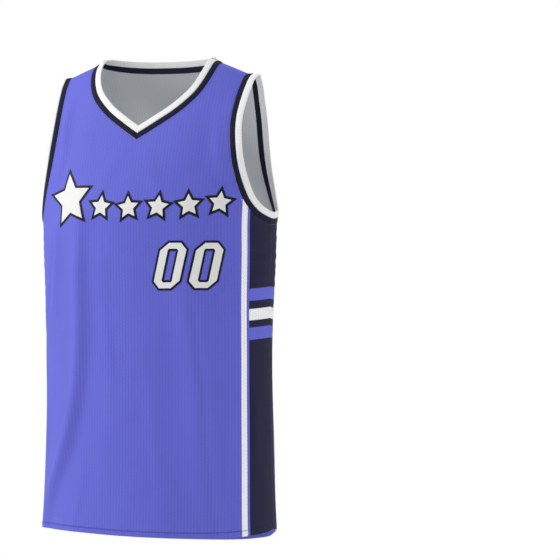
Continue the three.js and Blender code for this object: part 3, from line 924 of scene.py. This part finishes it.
def eyelet_mesh(tree, cloth, colour, hole_shade):
    """Staggered columns of small holes: the colour, painted shade in the holes, and the normal.
    """
    across, level = (
        add(tree, "ShaderNodeAttribute", out="Fac", attribute_name=name)
        for name in ("across", "level")
    )
    pitch, rise = cloth.eyelet_pitch / MM, cloth.eyelet_rise / MM
    column = add(tree, "ShaderNodeMath", {0: across, 1: pitch}, operation="DIVIDE")
    row = add(tree, "ShaderNodeMath", {0: level, 1: rise}, operation="DIVIDE")
    whole = add(tree, "ShaderNodeMath", {0: column}, operation="FLOOR")
    row = add(tree, "ShaderNodeMath", {0: whole, 1: 0.5, 2: row}, operation="MULTIPLY_ADD")
    place = add(tree, "ShaderNodeCombineXYZ", {"X": column, "Y": row})
    cell = {"Vector": place, "Scale": 1.0, "Randomness": 0.0}
    hole = add(tree, "ShaderNodeTexVoronoi", cell, voronoi_dimensions="2D")
    rim = {"Value": hole, "From Min": 0.12, "From Max": 0.34}
    knit = add(tree, "ShaderNodeMapRange", rim)
    # Painted shade: inside the holes the colour is multiplied by a grey
    hole_shade_mix = {0: knit, 6: hole_shade, 7: (1, 1, 1, 1)}
    shaded_holes = add(tree, "ShaderNodeMix", hole_shade_mix, 2, data_type="RGBA")
    product = {0: 1.0, 6: colour, 7: shaded_holes}
    colour = add(tree, "ShaderNodeMix", product, 2, data_type="RGBA", blend_type="MULTIPLY")
    bump = {"Height": knit, "Distance": 0.00022, "Strength": 0.6}
    return colour, add(tree, "ShaderNodeBump", bump)


def ridges(tree, place, pitch, colour, depth):
    """Even ridges along a place in millimetres: the colour, darkened by painted shade between
    them, and the ridge's height from 0 to 1."""
    turns = {0: place, 1: 2 * math.pi * MM / pitch}
    wave = add(tree, "ShaderNodeMath", turns, operation="MULTIPLY")
    wave = add(tree, "ShaderNodeMath", {0: wave}, operation="SINE")
    ridge = add(tree, "ShaderNodeMapRange", {"Value": wave, "From Min": -1.0})
    # Painted shade: between the ridges the colour keeps only a share, depth, of itself
    mix = {0: ridge, 6: deeper(colour, depth), 7: tuple(colour)}
    return add(tree, "ShaderNodeMix", mix, 2, data_type="RGBA"), ridge


def printed_mesh_knit(cloth):
    """Polyester eyelet mesh, warp knitted and dyed through by heat transfer. It gives the eye
    a matt, even colour with fine staggered holes and a faint sheen on the folds. The holes are
    drawn at the pitch of the settings, coarser than the 2 mm of the real knit."""
    material, tree = new_material("printed_polyester_eyelet_mesh")
    # The print, with the painted shadow above the hem
    dyed = dye_and_painted_hem_shadow(tree, cloth)
    # Grey of the painted shade inside the holes
    colour, normal = eyelet_mesh(tree, cloth, dyed, hex_colour("#E7E7EC"))
    fuzz = {"Height": position_noise(tree, 700, 3), "Distance": 0.0002, "Strength": 0.45}
    inputs = {
        "Base Color": colour,
        "Roughness": 0.68,
        "IOR": 1.5,
        "Specular IOR Level": 0.25,
        "Sheen Weight": 0.05,
        "Sheen Roughness": 0.45,
        "Normal": add(tree, "ShaderNodeBump", {**fuzz, "Normal": normal}),
    }
    return surfaced(material, inputs)


def undyed_mesh_knit(cloth):
    """The same mesh seen from inside, where the dye hardly reaches: greyish white and matt."""
    material, tree = new_material("undyed_polyester_mesh_reverse")
    cloudy = {0: position_noise(tree, 12), 6: hex_colour("#E0E3E6"), 7: hex_colour("#CFD3D9")}
    plain = add(tree, "ShaderNodeMix", cloudy, 2, data_type="RGBA")
    # Grey of the painted shade inside the holes
    colour, normal = eyelet_mesh(tree, cloth, plain, hex_colour("#F1F1F3"))
    inputs = {
        "Base Color": colour,
        "Roughness": 0.8,
        "Specular IOR Level": 0.25,
        "Normal": normal,
    }
    return surfaced(material, inputs)


def folded_rib(name, colour, bands, depth):
    """Cotton and polyester rib, knitted 1 by 1 and folded: matt, with fine ridges square to
    the opening's edge and painted shade between them. The ribs of 1.2 mm are drawn at the pitch
    of the settings."""
    material, tree = new_material(name)
    along = add(tree, "ShaderNodeAttribute", out="Fac", attribute_name="along_band")
    ribbed, ridge = ridges(tree, along, bands.rib_pitch, colour, depth)
    ribs = {"Height": ridge, "Distance": 0.0003, "Strength": 0.5}
    normal = add(tree, "ShaderNodeBump", ribs)
    fuzz = {"Height": position_noise(tree, 900), "Distance": 0.0002, "Strength": 0.4}
    inputs = {
        "Base Color": ribbed,
        "Roughness": 0.85,
        "Specular IOR Level": 0.2,
        "Sheen Weight": 0.06,
        "Sheen Roughness": 0.5,
        "Normal": add(tree, "ShaderNodeBump", {**fuzz, "Normal": normal}),
    }
    return surfaced(material, inputs)


def tackle_twill(name, colour, marks, depth):
    """Polyester twill, woven and cut to shape: smooth, a little brighter than knit, with fine
    diagonal lines and painted shade between them. The lines of 0.6 mm are drawn at the pitch of
    the settings."""
    material, tree = new_material(name)
    across, level = (
        add(tree, "ShaderNodeAttribute", out="Fac", attribute_name=name)
        for name in ("across", "level")
    )
    slope = add(tree, "ShaderNodeMath", {0: across, 1: level}, operation="ADD")
    woven, line = ridges(tree, slope, marks.twill_pitch, colour, depth)
    lines = {"Height": line, "Distance": 0.00015, "Strength": 0.5}
    inputs = {
        "Base Color": woven,
        "Roughness": 0.6,
        "Specular IOR Level": 0.25,
        "Normal": add(tree, "ShaderNodeBump", lines),
    }
    return surfaced(material, inputs)


def thread_dyed_and_hem_shaded(cloth):
    """Textured polyester thread in the colour of the cloth below it, painted hem shadow included,
    with a soft gloss.
    """
    material, tree = new_material("dyed_polyester_thread")
    fuzz = {"Height": position_noise(tree, 2600), "Distance": 0.0001, "Strength": 0.5}
    inputs = {
        "Base Color": dye_and_painted_hem_shadow(tree, cloth),
        "Roughness": 0.5,
        "Specular IOR Level": 0.5,
        "Sheen Weight": 0.2,
        "Normal": add(tree, "ShaderNodeBump", fuzz),
    }
    return surfaced(material, inputs)


def painted_floor():
    """Studio floor, rolled with matt emulsion: pale, even, with a faint cloudiness."""
    material, tree = new_material("matt_emulsion_floor")
    cloudy = {0: position_noise(tree, 3), 6: hex_colour("#F4F4F3"), 7: hex_colour("#EDEDEC")}
    stipple = {"Height": position_noise(tree, 160), "Distance": 0.0003, "Strength": 0.2}
    inputs = {
        "Base Color": add(tree, "ShaderNodeMix", cloudy, 2, data_type="RGBA"),
        "Roughness": 0.7,
        "Emission Color": (1, 1, 1, 1),
        "Emission Strength": 0.12,
        "Normal": add(tree, "ShaderNodeBump", stipple),
    }
    return surfaced(material, inputs)


def number(name, description, default, unit="LENGTH", least=0.0):
    """A number that the user can change; a length is in metres."""
    return bpy.props.FloatProperty(
        name=name, description=description, default=default, min=least, precision=5, unit=unit
    )


def tint(name, description, code):
    """A colour that the user can change, from its sRGB hex value."""
    colour = hex_colour(code)
    return bpy.props.FloatVectorProperty(
        name=name, description=description, default=colour, size=4, min=0, max=1, subtype="COLOR"
    )


class JerseyClothSettings(bpy.types.PropertyGroup):
    """Sizes and colours of the body panels"""

    wall: number("Wall", "Thickness of the body cloth", 0.0012)
    hem_wall: number("Hem wall", "Thickness of the turned and sewn hem", 0.0024)
    hem_depth: number("Hem depth", "Height of the turned hem", 0.008)
    eyelet_pitch: number("Eyelet pitch", "Distance between columns of eyelets", 0.0052)
    eyelet_rise: number("Eyelet rise", "Distance between the eyelets of a column", 0.0056)
    periwinkle: tint("Periwinkle", "Main colour of the print", "#676BD9")
    navy: tint("Navy", "Colour of the printed sides", "#16183D")
    white: tint("White", "Colour of the printed stripes", "#FBFBFC")


class JerseyBandSettings(bpy.types.PropertyGroup):
    """Sizes and colours of the rib bands"""

    navy_width: number("Navy width", "Width of the strip next to the cloth", 0.009)
    white_width: number("White width", "Width of the edge strip", 0.0102)
    wall: number("Wall", "Thickness of the folded rib", 0.0018)
    stand_proud: number("Stand proud", "Height of the bands over the cloth", 0.0003)
    fullness: number("Fullness", "How far the middle of a strip swells", 0.0009)
    rib_pitch: number("Rib pitch", "Distance between the ribs of the knit", 0.0024)
    navy: tint("Navy", "Colour of the strip next to the cloth", "#191A36")
    white: tint("White", "Colour of the edge strip", "#FCFCFC")


class JerseyMarkSettings(bpy.types.PropertyGroup):
    """Sizes and colours of the applied numbers and stars"""

    layer: number("Layer", "Thickness of one layer of twill", 0.00045)
    star_outline: number("Star outline", "Width of navy that shows round each star", 0.004)
    twill_pitch: number("Twill pitch", "Distance between the diagonal lines", 0.002)
    navy: tint("Navy", "Colour of the lower layer", "#0B0D28")
    white: tint("White", "Colour of the upper layer", "#ECEDEB")


class JerseyStitchSettings(bpy.types.PropertyGroup):
    """Sizes of the sewing"""

    stitch: number("Stitch length", "Length of one stitch", 0.003)
    gap: number("Gap", "Distance between two stitches", 0.001)
    thread: number("Thread", "Thickness of the thread", 0.0006)
    hem_low: number("Lower hem row", "Height of the lower row over the hem's edge", 0.005)
    hem_high: number("Upper hem row", "Height of the upper row over the hem's edge", 0.008)
    beside_bands: number("Beside the bands", "Distance of the topstitch from a band", 0.0028)


class JerseyStageSettings(bpy.types.PropertyGroup):
    """Where the floor lies and how strong the lights are"""

    floor_level: number("Floor level", "Height of the floor", -1.05, least=-10.0)
    key_power: number("Key light", "Power of the main light", 66.0, "POWER")
    fill_power: number("Fill light", "Power of the softer light", 22.0, "POWER")
    surround: number("Surround", "Strength of the light from all round", 0.25, "NONE")


class JerseyOperator:
    """What all the jersey's operators share"""

    bl_options = {"REGISTER", "UNDO"}


def finish_piece(piece, slot_name, *nodes):
    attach(piece, BODY)
    if nodes:
        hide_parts(*nodes)


class JERSEY_OT_panels(JerseyOperator, bpy.types.Operator):
    """Make the front and back cloth with its print, creases and doubled hem"""

    bl_idname = "jersey.panels"
    bl_label = "Body panels"

    def execute(self, context):
        cloth = context.scene.jersey_cloth
        materials = [printed_mesh_knit(cloth), undyed_mesh_knit(cloth)]
        for panel in (FRONT, BACK):
            piece = make_panel(panel, cloth, materials)
            finish_piece(piece, "periwinkle_mesh", f"{panel['name']}_panel")
        return {"FINISHED"}


class JERSEY_OT_bands(JerseyOperator, bpy.types.Operator):
    """Make the navy and white rib strips round the neck and the armholes"""

    bl_idname = "jersey.bands"
    bl_label = "Rib bands"

    def execute(self, context):
        bands = context.scene.jersey_bands
        # depth is the share of the colour left in the painted shade between the ribs
        navy = folded_rib("navy_folded_rib_knit", bands.navy, bands, depth=0.6)
        white = folded_rib("white_folded_rib_knit", bands.white, bands, depth=0.86)
        narrow, wide = bands.navy_width / MM, bands.white_width / MM
        strips = (
            ("navy", SEAM_GAP, narrow, navy),
            ("white", narrow + SEAM_GAP, narrow + SEAM_GAP + wide, white),
        )
        for name, node, ring, inside in openings():
            for tone, *reach, rib in strips:
                band = make_band(
                    f"{name}_{tone}_rib", ring, inside, *reach, bands, rib, name == "neck"
                )
                finish_piece(band, f"{tone}_rib", f"{node}_{tone}")
        return {"FINISHED"}


# How far a mark stands clear of the cloth, and how far its upper layer sinks into the lower
CLEAR = 0.02
SUNK = 0.03


def two_layers(name, panel, shapes, outline, marks, navy, white):
    """Navy marks on the cloth, and on them white ones that leave an outline of navy."""
    layer = marks.layer / MM
    lower = make_mark(f"{name}_navy_twill", panel, shapes, CLEAR, layer, navy)
    finish_piece(lower, "navy_rib")
    smaller = [
        (outset(rim, -outline), hub if hub.ndim == 1 else outset(hub, outline))
        for rim, hub in shapes
    ]
    foot = layer - SUNK
    upper = make_mark(f"{name}_white_twill", panel, smaller, foot, foot + layer, white)
    finish_piece(upper, "white_rib")


class JERSEY_OT_marks(JerseyOperator, bpy.types.Operator):
    """Lay plain block numbers and stars of twill on both panels"""

    bl_idname = "jersey.marks"
    bl_label = "Numbers and stars"

    def execute(self, context):
        marks = context.scene.jersey_marks
        # depth is the share of the colour left in the painted shade between the twill lines
        navy = tackle_twill("navy_tackle_twill", marks.navy, marks, depth=0.7)
        white = tackle_twill("white_tackle_twill", marks.white, marks, depth=0.93)
        for panel, number, stars in (
            (FRONT, FRONT_NUMBER, FRONT_STARS),
            (BACK, BACK_NUMBER, BACK_STARS),
        ):
            name = panel["name"]
            digits = [digit_zero(number, (at, number["level"])) for at in number["distances"]]
            two_layers(f"{name}_number", panel, digits, number["outline"], marks, navy, white)
            shapes = [
                star((distance, level), radius, tilt)
                for distance, level, radius, tilt in zip(*stars.values())
            ]
            outline = marks.star_outline / MM
            two_layers(f"{name}_stars", panel, shapes, outline, marks, navy, white)
        return {"FINISHED"}


# Turns along the hem between the side seams
SEWN_TURNS = np.linspace(-89, 89, 400)


class JERSEY_OT_stitches(JerseyOperator, bpy.types.Operator):
    """Sew the hem and the topstitch beside the bands"""

    bl_idname = "jersey.stitches"
    bl_label = "Stitches"

    def execute(self, context):
        stitches = context.scene.jersey_stitches
        thread = thread_dyed_and_hem_shaded(context.scene.jersey_cloth)
        for panel in (FRONT, BACK):
            rows, turns = [], SEWN_TURNS
            for height in (stitches.hem_low, stitches.hem_high):
                level = smooth(panel["hem"], "turn", "level", turns) + height / MM
                rise = rise_at(turns, level)
                path, normals = cloth_point(panel, turns, rise), way_out(panel, turns, rise)
                rows.append((panel, path, turns, level, *stitch_row(path, normals, stitches)))
            self.sew(f"{panel['name']}_hem_stitches", rows, thread)
        for name, _, ring, inside in openings():
            flat = {**ring, "lift": ring["lift"] * 0, "flare": ring["flare"] * 0}
            along, _ = band_frames(flat, inside)
            path = ring["point"] - along * stitches.beside_bands / MM
            level, turns = path[:, 2], ring["turn"][:, 0]
            row = stitch_row(path, ring["normal"], stitches, closed=True)
            self.sew(f"{name}_topstitch", [(None, path, turns, level, *row)], thread)
        return {"FINISHED"}

    def sew(self, name, rows, thread):
        """One piece of all the stitches in some rows, coloured as the cloth below them, painted
        hem shadow included.
        """
        points, faces, values, count = [], [], [], 0
        for panel, path, turns, level, row_points, row_faces in rows:
            firsts = row_points[::STITCH_POINTS]
            near = [int(np.argmin(np.sum((path - first) ** 2, -1))) for first in firsts]
            near = np.repeat(near, STITCH_POINTS)
            below = panel or {"facing": np.where(path[near, 1] < 0, -1, 1)}
            values.append(print_values(below, turns[near], level[near]))
            points.append(row_points)
            faces += [tuple(count + v for v in face) for face in row_faces]
            count += len(row_points)
        joined = {key: np.concatenate([v[key] for v in values]) for key in values[0]}
        piece = make_piece(name, np.concatenate(points), faces, [thread], values=joined)
        finish_piece(piece, "periwinkle_mesh")


class JERSEY_OT_flat_cuts(JerseyOperator, bpy.types.Operator):
    """Gather the names of the pieces that lie on each panel; no flat size is recorded"""

    bl_idname = "jersey.flat_cuts"
    bl_label = "Flat cuts"

    def execute(self, context):
        for name in ("front", "back"):
            layers = ("number_navy", "number_white", "stars_navy", "stars_white")
            on_it = [f"{name}_{layer}_twill" for layer in layers] + [f"{name}_hem_stitches"]
            if name == "front":
                on_it += ["neck_topstitch", "left_arm_topstitch", "right_arm_topstitch"]
        return {"FINISHED"}


# The camera: 7.5 m away, 26 degrees to the wearer's left of the front, level with the waist
CAMERA_TURN = math.radians(26)
CAMERA_DISTANCE = 7.5
CAMERA_LEVEL = -0.44
CAMERA_LENS = 303
CAMERA_SENSOR = 36
AIM_RIGHT = math.radians(1.469)
AIM_UP = math.radians(0.668)


# Soft lights: each one's place in metres toward the camera, to its right and up, the setting
# that gives its power and the share of that, and its size
LIGHTS = (
    ("key_softbox", (-0.3, -3.0, 1.2), "key_power", 1.0, 1.0),
    ("half_softbox", (1.8, -1.4, 3.2), "key_power", 0.86, 1.6),
    ("fill_softbox", (3.6, 0.8, 1.6), "fill_power", 1.0, 2.4),
    ("side_softbox", (0.4, 3.4, 0.4), "fill_power", 1.7, 2.4),
    ("back_softbox", (-2.4, 1.2, 1.8), "key_power", 0.35, 2.0),
)
LIT_POINT = Vector((0, 0, -0.35))
FLOOR_SIDES = 96
FLOOR_RINGS = (1.0, 2.5, 5.0)


def area_light(name, place, power, size):
    """A soft square light that points at the jersey and that the camera doesn't see."""
    light = bpy.data.lights.new(name, "AREA")
    light.energy, light.size = power, size
    lamp = bpy.data.objects.new(name, light)
    lamp.location = place
    lamp.rotation_euler = (LIT_POINT - place).to_track_quat("-Z", "Y").to_euler()
    lamp.visible_camera = False
    bpy.context.scene.collection.objects.link(lamp)


class JERSEY_OT_stage(JerseyOperator, bpy.types.Operator):
    """Set up the floor, the lights and the camera"""

    bl_idname = "jersey.stage"
    bl_label = "Stage"

    def execute(self, context):
        stage = context.scene.jersey_stage
        self.floor(stage)
        self.surround(stage)
        toward = Vector((math.sin(CAMERA_TURN), -math.cos(CAMERA_TURN), 0))
        right = Vector((math.cos(CAMERA_TURN), math.sin(CAMERA_TURN), 0))
        for name, (near, across, up), power, share, size in LIGHTS:
            place = toward * near + right * across + Vector((0, 0, up))
            area_light(name, place, getattr(stage, power) * share, size)
        camera = bpy.data.objects.new("camera", bpy.data.cameras.new("camera"))
        camera.data.lens = CAMERA_LENS
        camera.data.sensor_width = CAMERA_SENSOR
        camera.location = toward * CAMERA_DISTANCE + Vector((0, 0, CAMERA_LEVEL))
        camera.rotation_euler = (math.pi / 2 + AIM_UP, 0, CAMERA_TURN - AIM_RIGHT)
        context.scene.collection.objects.link(camera)
        context.scene.camera = camera
        return {"FINISHED"}

    def floor(self, stage):
        """A round floor that no other view looks over."""
        level = stage.floor_level / MM
        angles = np.linspace(0, 2 * np.pi, FLOOR_SIDES, endpoint=False)
        points = [
            (reach * math.cos(a) / MM, reach * math.sin(a) / MM, level)
            for reach in FLOOR_RINGS
            for a in angles
        ]
        middle = len(points)
        points.append((0, 0, level))
        faces = [(middle, k, (k + 1) % FLOOR_SIDES) for k in range(FLOOR_SIDES)]
        for low in range(0, middle - FLOOR_SIDES, FLOOR_SIDES):
            faces += between_rings(low + FLOOR_SIDES, low, FLOOR_SIDES)
        make_piece("studio_floor", points, faces, [painted_floor()])

    def surround(self, stage):
        """White behind everything, and dimmer light from it."""
        world = bpy.data.worlds.new("white_surround")
        bpy.context.scene.world = world
        world.use_nodes = True
        tree = world.node_tree
        tree.nodes.clear()
        seen = add(tree, "ShaderNodeLightPath", out="Is Camera Ray")
        seen = {"Value": seen, "To Min": stage.surround, "To Max": 1.0}
        white = {"Color": (1, 1, 1, 1), "Strength": add(tree, "ShaderNodeMapRange", seen)}
        white = add(tree, "ShaderNodeBackground", white)
        add(tree, "ShaderNodeOutputWorld", {"Surface": white})
        bpy.context.scene.view_settings.view_transform = "Standard"


class JERSEY_PT_panel(bpy.types.Panel):
    """The jersey's pieces and their sizes"""

    bl_idname = "JERSEY_PT_panel"
    bl_label = "Basketball jersey"
    bl_space_type = "VIEW_3D"
    bl_region_type = "UI"
    bl_category = "Jersey"

    def draw(self, context):
        for group, (_, *operators) in GROUPS.items():
            box = self.layout.box()
            held = getattr(context.scene, group)
            for key in held.__annotations__:
                box.prop(held, key)
            for kind in operators:
                box.operator(kind.bl_idname)


# Each group of settings, and the operators that are shown with it
GROUPS = {
    "jersey_cloth": (JerseyClothSettings, JERSEY_OT_panels, JERSEY_OT_flat_cuts),
    "jersey_bands": (JerseyBandSettings, JERSEY_OT_bands),
    "jersey_marks": (JerseyMarkSettings, JERSEY_OT_marks),
    "jersey_stitches": (JerseyStitchSettings, JERSEY_OT_stitches),
    "jersey_stage": (JerseyStageSettings, JERSEY_OT_stage),
}
CLASSES = [kind for kinds in GROUPS.values() for kind in kinds] + [JERSEY_PT_panel]


def register():
    for kind in CLASSES:
        bpy.utils.register_class(kind)
    for name, (kind, *_) in GROUPS.items():
        setattr(bpy.types.Scene, name, bpy.props.PointerProperty(type=kind))


def unregister():
    for name in GROUPS:
        delattr(bpy.types.Scene, name)
    for kind in reversed(CLASSES):
        bpy.utils.unregister_class(kind)


def main():
    register()
    bpy.ops.jersey.stage()
    bpy.ops.jersey.panels()
    bpy.ops.jersey.bands()
    bpy.ops.jersey.marks()
    bpy.ops.jersey.stitches()
    bpy.ops.jersey.flat_cuts()


if __name__ == "__main__":
    main()
